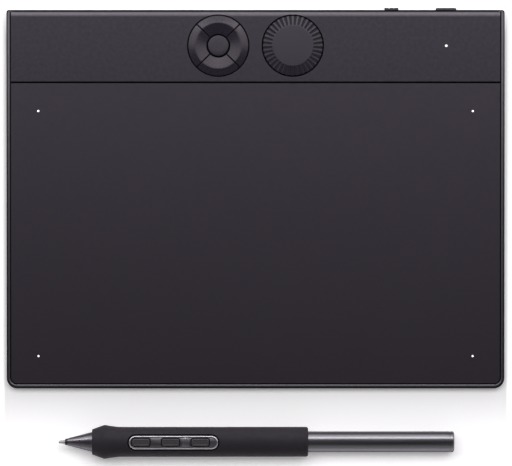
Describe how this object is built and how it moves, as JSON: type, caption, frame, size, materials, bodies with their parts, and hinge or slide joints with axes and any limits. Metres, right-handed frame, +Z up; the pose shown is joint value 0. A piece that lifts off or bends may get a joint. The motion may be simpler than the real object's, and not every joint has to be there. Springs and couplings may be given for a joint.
{
  "type": "graphics tablet",
  "caption": "Thin wedge-shaped graphics tablet with a key ring, a ribbed dial and controls along its rear edge, and its cordless pen lying in front of it.",
  "frame": {"origin": "on the desk, under the middle of the box that the tablet and the pen in front of it take together", "axes": "+X to the user's right along the long side, +Y from the user towards the rear edge with the keys, +Z up"},
  "size_m": [0.215, 0.1946, 0.0146],
  "materials": {
    "case": "dark grey anodised, fine bead blasted",
    "drawing_surface": "dark grey, fine tooth like paper",
    "panel": "dark grey, matte",
    "keys": "dark grey, satin",
    "dial": "dark grey, satin",
    "light_guide": "milky white",
    "inner_plastic": "black, plain",
    "circuit_board": "green lacquer over glass fibre",
    "shield": "bare sheet",
    "socket_metal": "plated",
    "battery_pouch": "foil pouch",
    "lead": "soft insulation",
    "ribbon": "amber film",
    "foot_rubber": "black, soft",
    "grip_rubber": "black, soft touch",
    "gunmetal": "dark anodised, half gloss",
    "nib_plastic": "grey, hard",
    "switch_plate": "black, half gloss",
    "switch_caps": "dark grey, satin",
    "coil_copper": "copper wire"
  },
  "bodies": {
    "tablet": {"bottom_case": "case", "drawing_surface": "drawing_surface", "corner_lights": "light_guide", "sensor_board": "circuit_board", "shield_plate": "shield", "control_panel": "panel", "key_guide": "inner_plastic", "key_switches": "inner_plastic", "dial_encoder": "inner_plastic", "main_board": "circuit_board", "controller_can": "shield", "wireless_module": "shield", "status_light": "light_guide", "status_led": "inner_plastic", "battery": "battery_pouch", "battery_plug": "inner_plastic", "battery_lead": "lead", "ribbon_connector": "inner_plastic", "sensor_ribbon": "ribbon", "power_switch": "inner_plastic", "mode_switch": "inner_plastic", "usb_socket": "socket_metal", "usb_tongue": "inner_plastic", "rubber_feet": "foot_rubber"},
    "rear_key": {"rear_key": "keys"},
    "left_key": {"left_key": "keys"},
    "front_key": {"front_key": "keys"},
    "right_key": {"right_key": "keys"},
    "centre_key": {"centre_key": "keys"},
    "dial": {"dial": "dial"},
    "power_button": {"power_button": "keys"},
    "mode_slider": {"mode_slider": "keys"},
    "pen": {"pen_grip": "grip_rubber", "pen_nose": "gunmetal", "pen_tail": "gunmetal", "pen_end_cap": "gunmetal", "switch_plate": "switch_plate", "pen_core": "inner_plastic", "pen_board": "circuit_board", "pen_dome_switches": "inner_plastic", "antenna_coil": "coil_copper", "pressure_sensor": "inner_plastic"},
    "nib": {"pen_nib": "nib_plastic"},
    "front_side_switch": {"front_side_switch": "switch_caps"},
    "middle_side_switch": {"middle_side_switch": "switch_caps"},
    "rear_side_switch": {"rear_side_switch": "switch_caps"}
  },
  "joints": [
    {"name": "rear_key_press", "type": "slide", "parent": "tablet", "child": "rear_key", "axis": [0, 0.0184, -0.9998], "range_m": [0, 0.0005], "stiffness_N_per_m": 400, "springref_m": -0.001},
    {"name": "left_key_press", "type": "slide", "parent": "tablet", "child": "left_key", "axis": [0, 0.0184, -0.9998], "range_m": [0, 0.0005], "stiffness_N_per_m": 400, "springref_m": -0.001},
    {"name": "front_key_press", "type": "slide", "parent": "tablet", "child": "front_key", "axis": [0, 0.0184, -0.9998], "range_m": [0, 0.0005], "stiffness_N_per_m": 400, "springref_m": -0.001},
    {"name": "right_key_press", "type": "slide", "parent": "tablet", "child": "right_key", "axis": [0, 0.0184, -0.9998], "range_m": [0, 0.0005], "stiffness_N_per_m": 400, "springref_m": -0.001},
    {"name": "centre_key_press", "type": "slide", "parent": "tablet", "child": "centre_key", "axis": [0, 0.0184, -0.9998], "range_m": [0, 0.0005], "stiffness_N_per_m": 400, "springref_m": -0.001},
    {"name": "dial_turn", "type": "hinge", "parent": "tablet", "child": "dial", "pos_m": [0.01607, 0.08086, 0.00672], "axis": [0, -0.0184, 0.9998], "continuous": true},
    {"name": "power_button_press", "type": "slide", "parent": "tablet", "child": "power_button", "axis": [0, -1, 0], "range_m": [0, 0.0004], "stiffness_N_per_m": 500, "springref_m": -0.001},
    {"name": "mode_slider_slide", "type": "slide", "parent": "tablet", "child": "mode_slider", "axis": [1, 0, 0], "range_m": [0, 0.003]},
    {"name": "pen_lift", "type": "slide", "parent": "tablet", "child": "pen", "axis": [0, 0, 1], "range_m": [0, 0.12]},
    {"name": "nib_press", "type": "slide", "parent": "pen", "child": "nib", "axis": [1, 0, -0.0098], "range_m": [0, 0.0004], "stiffness_N_per_m": 800, "springref_m": -0.0005},
    {"name": "front_side_switch_press", "type": "slide", "parent": "pen", "child": "front_side_switch", "axis": [-0.0098, 0, -1], "range_m": [0, 0.00035], "stiffness_N_per_m": 500, "springref_m": -0.001},
    {"name": "middle_side_switch_press", "type": "slide", "parent": "pen", "child": "middle_side_switch", "axis": [-0.0098, 0, -1], "range_m": [0, 0.00035], "stiffness_N_per_m": 500, "springref_m": -0.001},
    {"name": "rear_side_switch_press", "type": "slide", "parent": "pen", "child": "rear_side_switch", "axis": [-0.0098, 0, -1], "range_m": [0, 0.00035], "stiffness_N_per_m": 500, "springref_m": -0.001}
  ]
}
